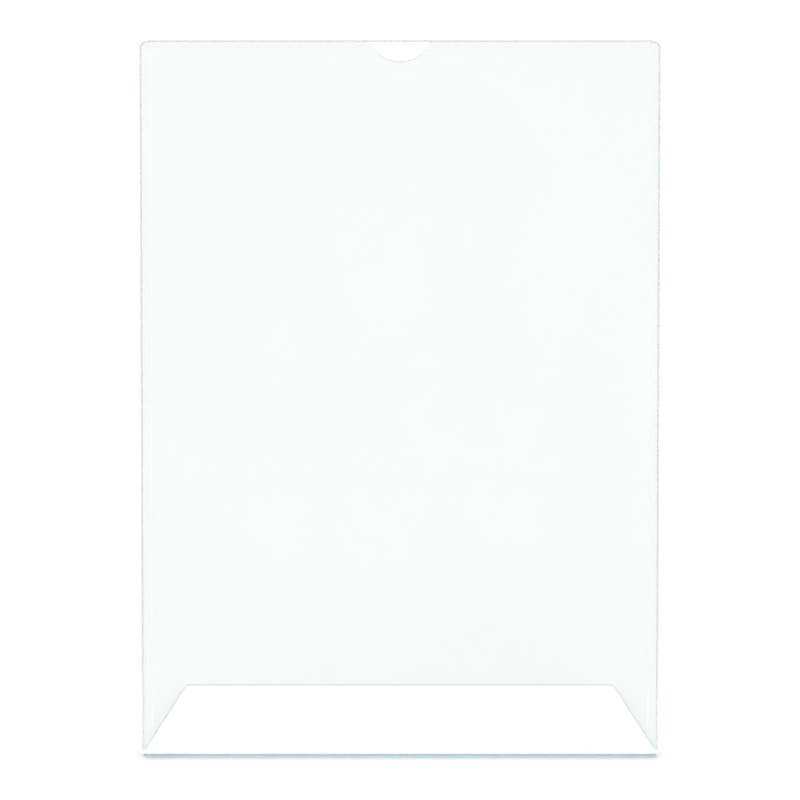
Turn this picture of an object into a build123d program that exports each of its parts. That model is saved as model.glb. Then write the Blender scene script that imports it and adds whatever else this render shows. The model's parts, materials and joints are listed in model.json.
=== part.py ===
from build123d import *
from math import cos, radians, sin
import os

os.makedirs("parts", exist_ok=True)

# Clear acrylic countertop guard and sheet holder, in millimetres.
# +Z is up, the readable front faces -Y, and the origin is the middle of the base's underside.
# Two upright sheets, with narrow strips between them, make a pocket that is open at the top.
# The pocket leans back a little. It is bonded to a flat base plate that runs out behind it.

# The sheet of paper that the pocket takes, A4 upright
paper_width = 210
paper_height = 297

# Sheet stock
panel_thickness = 2
strip_thickness = 1
base_thickness = 2

# The pocket
strip_width = 4
paper_side_play = 1.7
paper_top_play = 0.4
back_panel_rise = 1.4
panel_corner_radius = 3
lean_degrees = 2

# The base plate
base_depth = 85
base_corner_radius = 3

# The finger notch in the front panel's top edge
notch_radius = 14
notch_depth = 8.5
notch_blend_radius = 1.5

# The edge that polishing leaves broken
arris = 0.1

# Sizes that follow from those
pocket_width = paper_width + paper_side_play
panel_width = pocket_width + 2 * strip_width
panel_height = strip_width + paper_height + paper_top_play
side_strip_offset = (pocket_width + strip_width) / 2
lean_sin = sin(radians(lean_degrees))
lean_cos = cos(radians(lean_degrees))
front_y = -base_depth / 2

# The top of the base plate, which the pocket's lower edges are cut to
base_top = Plane.XY.offset(base_thickness)


def leaning_plane(depth_in):
    """A plane along the leaning pocket, depth_in behind its front face, with Y up the slope."""
    foot = (0, front_y + depth_in * lean_cos, base_thickness - depth_in * lean_sin)
    return Plane(origin=foot, x_dir=(1, 0, 0), z_dir=(0, -lean_cos, lean_sin))


strip_depth_in = panel_thickness
back_depth_in = panel_thickness + strip_thickness

# Base plate: one flat sheet with rounded corners and a broken edge round both faces
with BuildPart() as base_plate:
    with BuildSketch(Plane.XY):
        RectangleRounded(panel_width, base_depth, base_corner_radius)
    extrude(amount=base_thickness)
    rims = base_plate.faces().filter_by(Axis.Z).edges()
    chamfer(rims, arris)
base_plate.part.label = "base_plate"
export_step(base_plate.part, "parts/base_plate.step")

# Front panel: two rounded top corners and a finger notch with softened ends.
# The edges of its outer face are broken, apart from the one that meets the base.
notch_centre_height = panel_height + notch_radius - notch_depth
with BuildPart() as front_panel:
    with BuildSketch(leaning_plane(0)) as front_outline:
        Rectangle(panel_width, panel_height, align=(Align.CENTER, Align.MIN))
        fillet(front_outline.vertices().group_by(Axis.Y)[-1], panel_corner_radius)
        with Locations((0, notch_centre_height)):
            Circle(notch_radius, mode=Mode.SUBTRACT)
        top_points = front_outline.vertices().group_by(Axis.Y)[-1].sort_by(Axis.X)
        fillet(top_points[1:-1], notch_blend_radius)
    extrude(amount=-panel_thickness)
    split(bisect_by=base_top, keep=Keep.TOP)
    broad_faces = front_panel.faces().sort_by(SortBy.AREA)[-2:]
    outer_face = broad_faces.sort_by(Axis.Y)[0]
    outer_edges = outer_face.edges().sort_by(Axis.Z)[1:]
    chamfer(outer_edges, arris)
front_panel.part.label = "front_panel"
export_step(front_panel.part, "parts/front_panel.step")

# Back panel: the same width, a little taller, with no notch
with BuildPart() as back_panel:
    with BuildSketch(leaning_plane(back_depth_in)) as back_outline:
        back_height = panel_height + back_panel_rise
        Rectangle(panel_width, back_height, align=(Align.CENTER, Align.MIN))
        fillet(back_outline.vertices().group_by(Axis.Y)[-1], panel_corner_radius)
    extrude(amount=-panel_thickness)
    split(bisect_by=base_top, keep=Keep.TOP)
    broad_faces = back_panel.faces().sort_by(SortBy.AREA)[-2:]
    outer_face = broad_faces.sort_by(Axis.Y)[-1]
    outer_edges = outer_face.edges().sort_by(Axis.Z)[1:]
    chamfer(outer_edges, arris)
back_panel.part.label = "back_panel"
export_step(back_panel.part, "parts/back_panel.step")

# Bottom strip: closes the pocket between the two side strips, and the paper stands on it
with BuildPart() as bottom_strip:
    with BuildSketch(leaning_plane(strip_depth_in)):
        Rectangle(pocket_width, strip_width, align=(Align.CENTER, Align.MIN))
    extrude(amount=-strip_thickness)
    split(bisect_by=base_top, keep=Keep.TOP)
bottom_strip.part.label = "bottom_strip"
export_step(bottom_strip.part, "parts/bottom_strip.step")

# Side strips: full height, each with its outer top corner rounded to the panels' outline
for strip_name, side in (("left_side_strip", -1), ("right_side_strip", 1)):
    with BuildPart() as side_strip:
        with BuildSketch(leaning_plane(strip_depth_in)) as strip_outline:
            with Locations((side * side_strip_offset, 0)):
                Rectangle(strip_width, panel_height, align=(Align.CENTER, Align.MIN))
            top_corners = strip_outline.vertices().group_by(Axis.Y)[-1]
            outer_corner = top_corners.sort_by(Axis.X, reverse=side < 0)[-1]
            fillet(outer_corner, panel_corner_radius)
        extrude(amount=-strip_thickness)
        split(bisect_by=base_top, keep=Keep.TOP)
    side_strip.part.label = strip_name
    export_step(side_strip.part, f"parts/{strip_name}.step")
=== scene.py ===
import json
import math

import bpy
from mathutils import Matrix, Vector


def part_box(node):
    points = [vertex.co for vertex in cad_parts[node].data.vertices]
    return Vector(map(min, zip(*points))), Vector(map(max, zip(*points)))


# Clear acrylic tabletop guard and sign holder. Metres, +Z up, the front faces -Y.
# Two sheets and three strips make a pocket that leans back on a base plate. All six pieces
# are the CAD nodes as they stand: this file gives them their acrylic and their studio.

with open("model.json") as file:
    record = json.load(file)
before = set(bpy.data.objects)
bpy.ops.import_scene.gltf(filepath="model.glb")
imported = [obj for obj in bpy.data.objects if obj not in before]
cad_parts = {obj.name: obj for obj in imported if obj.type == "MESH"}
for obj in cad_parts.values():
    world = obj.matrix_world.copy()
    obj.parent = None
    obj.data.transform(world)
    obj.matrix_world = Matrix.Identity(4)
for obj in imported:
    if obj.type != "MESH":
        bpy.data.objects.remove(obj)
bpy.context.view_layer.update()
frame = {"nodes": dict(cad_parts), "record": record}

MM = 0.001
MICRON = 1e-6


def way_through_pocket():
    """Unit vector back through the pocket's sheets, square to the way that paper slides in."""
    mounts = {mount["name"]: mount for mount in frame["record"]["mounts"]}
    slide = Vector(mounts["sheet_pocket"]["axis"]).normalized()
    return Vector((0, slide.z, -slide.y))


THROUGH_POCKET = way_through_pocket()
BASE_LOW, BASE_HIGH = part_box("base_plate")


# ---------------------------------------------------------------- node helpers

# A Mix node has one set of sockets for each type of data, and these are the ones for colours
MIX_FACTOR, MIX_LOW, MIX_HIGH, MIX_RESULT = 0, 6, 7, 2


def is_output(value):
    return isinstance(value, bpy.types.NodeSocket)


class Graph:
    """Short calls that add and link the nodes of one material, world or node group."""

    def __init__(self, tree, prefix="ShaderNode"):
        self.tree = tree
        self.prefix = prefix
        self.tree.nodes.clear()

    def add(self, kind, inputs=None, **settings):
        """A new node. An input takes another node's output, or a plain value."""
        node = self.tree.nodes.new(self.prefix + kind)
        for key, value in settings.items():
            setattr(node, key, value)
        for key, value in (inputs or {}).items():
            if is_output(value):
                self.tree.links.new(value, node.inputs[key])
            else:
                node.inputs[key].default_value = value
        return node

    def math(self, operation, first, second=0.0):
        return self.add("Math", {0: first, 1: second}, operation=operation).outputs[0]

    def between(self, factor, low, high):
        """low at factor 0 and high at factor 1."""
        gain = self.math("SUBTRACT", high, low)
        line = {0: gain, 1: factor, 2: low}
        return self.add("Math", line, operation="MULTIPLY_ADD").outputs[0]

    def colours(self, factor, low, high):
        """The colour low at factor 0 and high at factor 1."""
        low, high = (colour if is_output(colour) else (*colour, 1) for colour in (low, high))
        inputs = {MIX_FACTOR: factor, MIX_LOW: low, MIX_HIGH: high}
        return self.add("Mix", inputs, data_type="RGBA").outputs[MIX_RESULT]

    def ramp(self, value, low, high, smooth=False):
        """0 where value is at most low, 1 where it is at least high."""
        kind = "SMOOTHSTEP" if smooth else "LINEAR"
        ends = {"Value": value, "From Min": low, "From Max": high}
        return self.add("MapRange", ends, interpolation_type=kind).outputs["Result"]

    def point(self):
        """The place of a point on an object whose origin is the frame's."""
        return self.add("TexCoord").outputs["Object"]

    def xyz(self, vector):
        return self.add("SeparateXYZ", {0: vector}).outputs

    def noise(self, per_metre, detail=2.0, stretch=(1, 1, 1)):
        """A pattern of about that many features per metre. A stretch under 1 draws it out."""
        mapped = self.add("Mapping", {"Vector": self.point(), "Scale": stretch}).outputs["Vector"]
        sizes = {"Vector": mapped, "Scale": per_metre, "Detail": detail}
        return self.add("TexNoise", sizes).outputs["Fac"]


def shader_graph(owner):
    owner.use_nodes = True
    return Graph(owner.node_tree)


def dimmed(colour, share):
    return [share * channel for channel in colour]


# ---------------------------------------------------------------- acrylic

IOR = 1.49
# The share of red, green and blue that a ray loses in each millimetre of its way
LOSS_PER_MM = (0.0035, 0.0022, 0.0022)
LOSS_DENSITY = 25.0

# The share of the sheet's normal in a point's own: 1 on a face, 0.71 on an arris, 0 on an edge
BELOW_FACE = 0.95
BELOW_ARRIS = 0.5

# Faces: broad smears, fine upright wipe lines and the waviness of the cast sheet
SMEARS_PER_METRE = 22.0
SMEAR_STRETCH = (1, 1, 0.6)
SMEAR_RANGE = (0.35, 0.7)
SMEAR_DIMMING = 0.994
SMEAR_ROUGHNESS = 0.006
WIPES_PER_METRE = 900.0
WIPE_STRETCH = (1, 1, 0.03)
WIPE_RANGE = (0.55, 0.8)
WIPE_ROUGHNESS = 0.01
WAVES_PER_METRE = 16.0
WAVE_MICRONS = 8.0

# Cut edges: patches where they are a little darker, and saw lines across the thickness
PATCHES_PER_METRE = 30.0
PATCH_RANGE = (0.3, 0.7)
PATCH_DIMMING = 0.97
SAW_LINES_PER_METRE = 2400.0
SAWN_ROUGHNESS = (0.18, 0.24)
GROOVE_MICRONS = 0.5
# The thickness that they cross is along Y in the upright pieces, and along Z in the base plate
UPRIGHT_GRAIN = (1, 0.02, 1)
LEVEL_GRAIN = (1, 1, 0.02)

# How far from a limit a point has to be to count as past it
MARGIN = 0.1 * MM
# Painted light: the base plate's edge is painted paler towards the floor, for the light it takes
# from the floor
# The sawn look of the base plate's edge builds up between these heights, from this share
PAINTED_LIGHT_FADE_HEIGHTS = (0.1 * MM, 0.9 * MM)
SAWN_SHARE_IN_PAINTED_LIGHT = 0.2


def tint_with_depth(g):
    """Absorption that makes long ways through the sheet teal."""
    colour = [1 - per_mm / MM / LOSS_DENSITY for per_mm in LOSS_PER_MM]
    inputs = {"Color": (*colour, 1), "Density": LOSS_DENSITY}
    return g.add("VolumeAbsorption", inputs).outputs["Volume"]


def cut_edges(g, across):
    """Two masks: 1 on a sheet's cut edges and their arris, and 1 on the edges alone.

    Both are 0 on the two faces that the sheet's normal, across, runs through."""
    normal = g.add("NewGeometry").outputs["True Normal"]
    facing = g.add("VectorMath", {0: normal, 1: tuple(across)}, operation="DOT_PRODUCT")
    share = g.math("ABSOLUTE", facing.outputs["Value"])
    return g.math("LESS_THAN", share, BELOW_FACE), g.math("LESS_THAN", share, BELOW_ARRIS)


def above_base(g):
    """1 everywhere but on the feet of the panels, which are welded to the base plate."""
    return g.math("GREATER_THAN", g.xyz(g.point())["Z"], BASE_HIGH.z + MARGIN)


def flush_with_sides(g):
    """1 on the sides of the object, where the strips are cut flush with the panels."""
    across = g.math("ABSOLUTE", g.xyz(g.point())["X"])
    return g.math("GREATER_THAN", across, BASE_HIGH.x - MARGIN)


def painted_light_below(g):
    """1 at the top of the base plate's edge, and less towards the floor, where it is painted
    paler: painted light from the floor.
    """
    raised = g.ramp(g.xyz(g.point())["Z"], *PAINTED_LIGHT_FADE_HEIGHTS, smooth=True)
    return g.between(raised, SAWN_SHARE_IN_PAINTED_LIGHT, 1.0)


def polished_face(g, look):
    """The colour and roughness of a face, and the height of its waves in microns."""
    smears = g.ramp(g.noise(SMEARS_PER_METRE, detail=3.0, stretch=SMEAR_STRETCH), *SMEAR_RANGE)
    wipes = g.ramp(g.noise(WIPES_PER_METRE, stretch=WIPE_STRETCH), *WIPE_RANGE)
    colour = g.colours(smears, look["face"], dimmed(look["face"], SMEAR_DIMMING))
    smeared = g.math("MULTIPLY", smears, SMEAR_ROUGHNESS)
    wiped = g.math("MULTIPLY", wipes, WIPE_ROUGHNESS)
    waves = g.math("MULTIPLY", g.noise(WAVES_PER_METRE, detail=1.0), WAVE_MICRONS)
    return colour, g.math("ADD", smeared, wiped), waves


def sawn_edge(g, grain, flat, look):
    """The colour, roughness and clearness of a cut edge, and its grooves in microns.

    flat is 1 on the edge itself and 0 on its arris, which is clearer."""
    saw = g.noise(SAW_LINES_PER_METRE, stretch=grain)
    patches = g.ramp(g.noise(PATCHES_PER_METRE, detail=1.0), *PATCH_RANGE)
    sawn = g.colours(patches, look["edge"], dimmed(look["edge"], PATCH_DIMMING))
    colour = g.colours(flat, look["arris"], sawn)
    clear = g.between(flat, look["arris_clear"], look["edge_clear"])
    rough = g.between(saw, *SAWN_ROUGHNESS)
    grooves = g.math("MULTIPLY", saw, GROOVE_MICRONS)
    return colour, rough, clear, grooves


def acrylic(name, across, grain, sawn_share, look):
    """Cast acrylic with polished faces, and cut edges that are frosted by the saw.

    across is the sheet's normal, and grain draws the saw lines out across its thickness.
    sawn_share gives 1 where an edge shows as sawn, and 0 where it takes look's other tint
    instead, which at the foot of the base plate's edge is painted light."""
    material = bpy.data.materials.new(name)
    g = shader_graph(material)
    cut, flat = cut_edges(g, across)
    shown = g.math("MULTIPLY", cut, sawn_share(g))

    face_colour, face_rough, waves = polished_face(g, look)
    edge_colour, edge_rough, edge_clear, grooves = sawn_edge(g, grain, flat, look)
    face_covered_or_painted_light = g.colours(cut, face_colour, look["covered_or_painted_light"])
    covered_or_painted_light_clear = g.between(cut, 1.0, look["covered_or_painted_light_clear"])
    height = g.between(shown, waves, grooves)
    bump = g.add("Bump", {"Height": height, "Distance": MICRON, "Strength": 1.0})

    inputs = {
        "Base Color": g.colours(shown, face_covered_or_painted_light, edge_colour),
        "Roughness": g.between(shown, face_rough, edge_rough),
        "IOR": IOR,
        "Transmission Weight": g.between(shown, covered_or_painted_light_clear, edge_clear),
        "Normal": bump.outputs["Normal"],
    }
    shader = g.add("BsdfPrincipled", inputs)
    surface, volume = shader.outputs["BSDF"], tint_with_depth(g)
    g.add("OutputMaterial", {"Surface": surface, "Volume": volume})
    return material


# ---------------------------------------------------------------- the object

# Points nearer than this are one point on two faces of the CAD mesh
SEAM_TOLERANCE = 1 * MICRON
# Half of the hairline that is left between two pieces which only touch
HALF_GAP = 6 * MICRON
SMOOTH_UNDER = math.radians(30)

PANEL_LOOK = {
    "face": (0.953, 0.9625, 0.958),
    "edge": (0.62, 0.73, 0.72),
    "edge_clear": 0.64,
    "arris": (0.92, 0.97, 0.965),
    "arris_clear": 0.8,
    "covered_or_painted_light": (1.0, 1.0, 1.0),
    "covered_or_painted_light_clear": 1.0,
}
# The strips' inner edges line the pocket and are milky. The base plate's edge takes the same
# milky tint at its foot as painted light from the floor
STRIP_LOOK = {
    **PANEL_LOOK,
    "face": (1.0, 1.0, 1.0),
    "covered_or_painted_light": (0.97, 0.985, 0.98),
    "covered_or_painted_light_clear": 0.3,
}
BASE_LOOK = {
    **STRIP_LOOK,
    "edge": (0.50, 0.64, 0.64),
    "edge_clear": 0.5,
}


def seam_group():
    """Closes each CAD mesh's seams, draws it in by half a hairline gap and smooths its rounds."""
    tree = bpy.data.node_groups.new("seams", "GeometryNodeTree")
    for way in ("INPUT", "OUTPUT"):
        tree.interface.new_socket("Geometry", in_out=way, socket_type="NodeSocketGeometry")
    g = Graph(tree, "")
    given = g.add("NodeGroupInput").outputs[0]
    near = {"Geometry": given, "Distance": SEAM_TOLERANCE}
    merged = g.add("GeometryNodeMergeByDistance", near).outputs[0]
    own_normals = {"Geometry": merged, "Name": "custom_normal"}
    plain = g.add("GeometryNodeRemoveAttribute", own_normals).outputs[0]
    normal = g.add("GeometryNodeInputNormal").outputs[0]
    inward = g.add("ShaderNodeVectorMath", {0: normal, "Scale": -HALF_GAP}, operation="SCALE")
    moves = {"Geometry": plain, "Offset": inward.outputs[0]}
    moved = g.add("GeometryNodeSetPosition", moves).outputs[0]
    angle = g.add("GeometryNodeInputMeshEdgeAngle").outputs["Unsigned Angle"]
    limit = {0: angle, 1: SMOOTH_UNDER}
    soft = g.add("FunctionNodeCompare", limit, operation="LESS_THAN").outputs[0]
    faces = {"Geometry": moved, "Shade Smooth": True}
    smooth = g.add("GeometryNodeSetShadeSmooth", faces).outputs[0]
    edges = {"Geometry": smooth, "Shade Smooth": soft}
    creased = g.add("GeometryNodeSetShadeSmooth", edges, domain="EDGE").outputs[0]
    g.add("NodeGroupOutput", {0: creased})
    return tree


def finish_nodes(names, material, seams):
    """Gives each CAD node the acrylic, in its own slot, and its seams."""
    for name in names:
        piece = frame["nodes"][name]
        piece.material_slots[0].material = material
        piece.modifiers.new("seams", "NODES").node_group = seams


def finish_object():
    panel = acrylic("panel_acrylic", THROUGH_POCKET, UPRIGHT_GRAIN, above_base, PANEL_LOOK)
    strip = acrylic("strip_acrylic", THROUGH_POCKET, UPRIGHT_GRAIN, flush_with_sides, STRIP_LOOK)
    base = acrylic("base_acrylic", (0, 0, 1), LEVEL_GRAIN, painted_light_below, BASE_LOOK)
    seams = seam_group()
    finish_nodes(("front_panel", "back_panel"), panel, seams)
    finish_nodes(("left_side_strip", "right_side_strip", "bottom_strip"), strip, seams)
    finish_nodes(("base_plate",), base, seams)


# ---------------------------------------------------------------- studio

# The room's brightness, a little over white so that the clear sheets in front stay near white
WHITE = 1.054
CEILING = 1.8
# The ceiling starts at a height over the horizon of this much for each unit of distance
CEILING_BEHIND = 0.343
CEILING_IN_FRONT = 0.50
# Beside the object it starts at the slope times the distance, plus the offset
CEILING_BESIDE_SLOPE = 0.45
CEILING_BESIDE_OFFSET = -0.12
CEILING_BLUR = 0.009

# Under that ceiling, a floor of this albedo is as bright as the room
FLOOR_ALBEDO = 0.611
FLOOR_DROP = 0.1 * MM
# The distances from the object between which the floor gives way to the room
FLOOR_END = (0.5, 1.1)
# Painted light: a paler patch of floor paint in front of the base plate thins its contact shadow
# The floor is this much paler just in front of the base plate, and ends so over these distances
FLOOR_PAINTED_LIGHT = 1.07
PAINTED_LIGHT_END_IN_FRONT = (0.05, 0.35)
PAINTED_LIGHT_END_BEHIND = (-5 * MM, 20 * MM)

SENSOR_WIDTH = 36.0
LENS = 42.27
CLIP_RANGE = (0.01, 100.0)
# From the base plate's front edge and its underside
CAMERA_AHEAD = 0.3917
CAMERA_HEIGHT = 0.1718
CAMERA_DOWN = math.radians(2.825)

# Enough for the light that runs along inside a sheet to its edges
LIGHT_BOUNCES = 160


def floor_colour(g, point):
    """Grey that is a little paler in front of the base plate: painted light that thins the
    contact shadow there.
    """
    behind = g.math("SUBTRACT", g.xyz(point)["Y"], BASE_LOW.y)
    ahead = g.math("MULTIPLY", behind, -1.0)
    plain_behind = g.ramp(behind, *PAINTED_LIGHT_END_BEHIND, smooth=True)
    plain_ahead = g.ramp(ahead, *PAINTED_LIGHT_END_IN_FRONT, smooth=True)
    plain = g.math("MAXIMUM", plain_behind, plain_ahead)
    albedo = g.between(plain, FLOOR_ALBEDO * FLOOR_PAINTED_LIGHT, FLOOR_ALBEDO)
    return g.add("CombineColor", {"Red": albedo, "Green": albedo, "Blue": albedo}).outputs[0]


def floor_paint():
    """Matt paint, which gives way grain by grain to the white of the room further out."""
    material = bpy.data.materials.new("floor_paint")
    g = shader_graph(material)
    point = g.point()
    paint = g.add("BsdfDiffuse", {"Color": floor_colour(g, point)}).outputs[0]
    room = g.add("Emission", {"Strength": WHITE}).outputs[0]
    away = g.add("VectorMath", {0: point}, operation="LENGTH").outputs["Value"]
    grain = g.add("TexWhiteNoise", {"Vector": point}).outputs["Value"]
    gone = g.math("LESS_THAN", grain, g.ramp(away, *FLOOR_END, smooth=True))
    mixed = g.add("MixShader", {0: gone, 1: paint, 2: room}).outputs[0]
    g.add("OutputMaterial", {"Surface": mixed})
    return material


def make_floor():
    """A pale floor just under the base plate."""
    half = FLOOR_END[1]
    z = BASE_LOW.z - FLOOR_DROP
    corners = [(x * half, y * half, z) for x, y in ((-1, -1), (1, -1), (1, 1), (-1, 1))]
    mesh = bpy.data.meshes.new("floor")
    mesh.from_pydata(corners, [], [(0, 1, 2, 3)])
    mesh.materials.append(floor_paint())
    floor = bpy.data.objects.new("floor", mesh)
    bpy.context.scene.collection.objects.link(floor)


def make_sky():
    """An even white room under a brighter ceiling, which starts lower behind than in front."""
    world = bpy.data.worlds.new("studio")
    bpy.context.scene.world = world
    g = shader_graph(world)
    way = g.xyz(g.add("TexCoord").outputs["Generated"])
    behind = g.math("MULTIPLY", way["Y"], CEILING_BEHIND)
    in_front = g.math("MULTIPLY", way["Y"], -CEILING_IN_FRONT)
    aside = g.math("ABSOLUTE", way["X"])
    slope = {0: aside, 1: CEILING_BESIDE_SLOPE, 2: CEILING_BESIDE_OFFSET}
    beside = g.add("Math", slope, operation="MULTIPLY_ADD").outputs[0]
    rim = g.math("MAXIMUM", g.math("MAXIMUM", behind, in_front), beside)
    over = g.math("SUBTRACT", way["Z"], rim)
    ceiling = g.ramp(over, -CEILING_BLUR, CEILING_BLUR, smooth=True)
    strength = g.between(ceiling, WHITE, CEILING)
    light = g.add("Background", {"Color": (1, 1, 1, 1), "Strength": strength}).outputs[0]
    g.add("OutputWorld", {"Surface": light})


def make_camera():
    """A little over the middle of the panel, 0.4 m in front of it, looking slightly down."""
    data = bpy.data.cameras.new("camera")
    data.sensor_width = SENSOR_WIDTH
    data.lens = LENS
    data.clip_start, data.clip_end = CLIP_RANGE
    camera = bpy.data.objects.new("camera", data)
    camera.location = (0, BASE_LOW.y - CAMERA_AHEAD, BASE_LOW.z + CAMERA_HEIGHT)
    camera.rotation_euler = (math.radians(90) - CAMERA_DOWN, 0, 0)
    bpy.context.scene.collection.objects.link(camera)
    bpy.context.scene.camera = camera


def set_light_paths():
    """True whites, and rays that stay sharp through the clear sheets, for many bounces."""
    scene = bpy.context.scene
    scene.view_settings.view_transform = "Standard"
    scene.cycles.blur_glossy = 0.0
    scene.cycles.max_bounces = LIGHT_BOUNCES
    scene.cycles.transmission_bounces = LIGHT_BOUNCES
    scene.cycles.glossy_bounces = LIGHT_BOUNCES


finish_object()
make_floor()
make_sky()
make_camera()
set_light_paths()
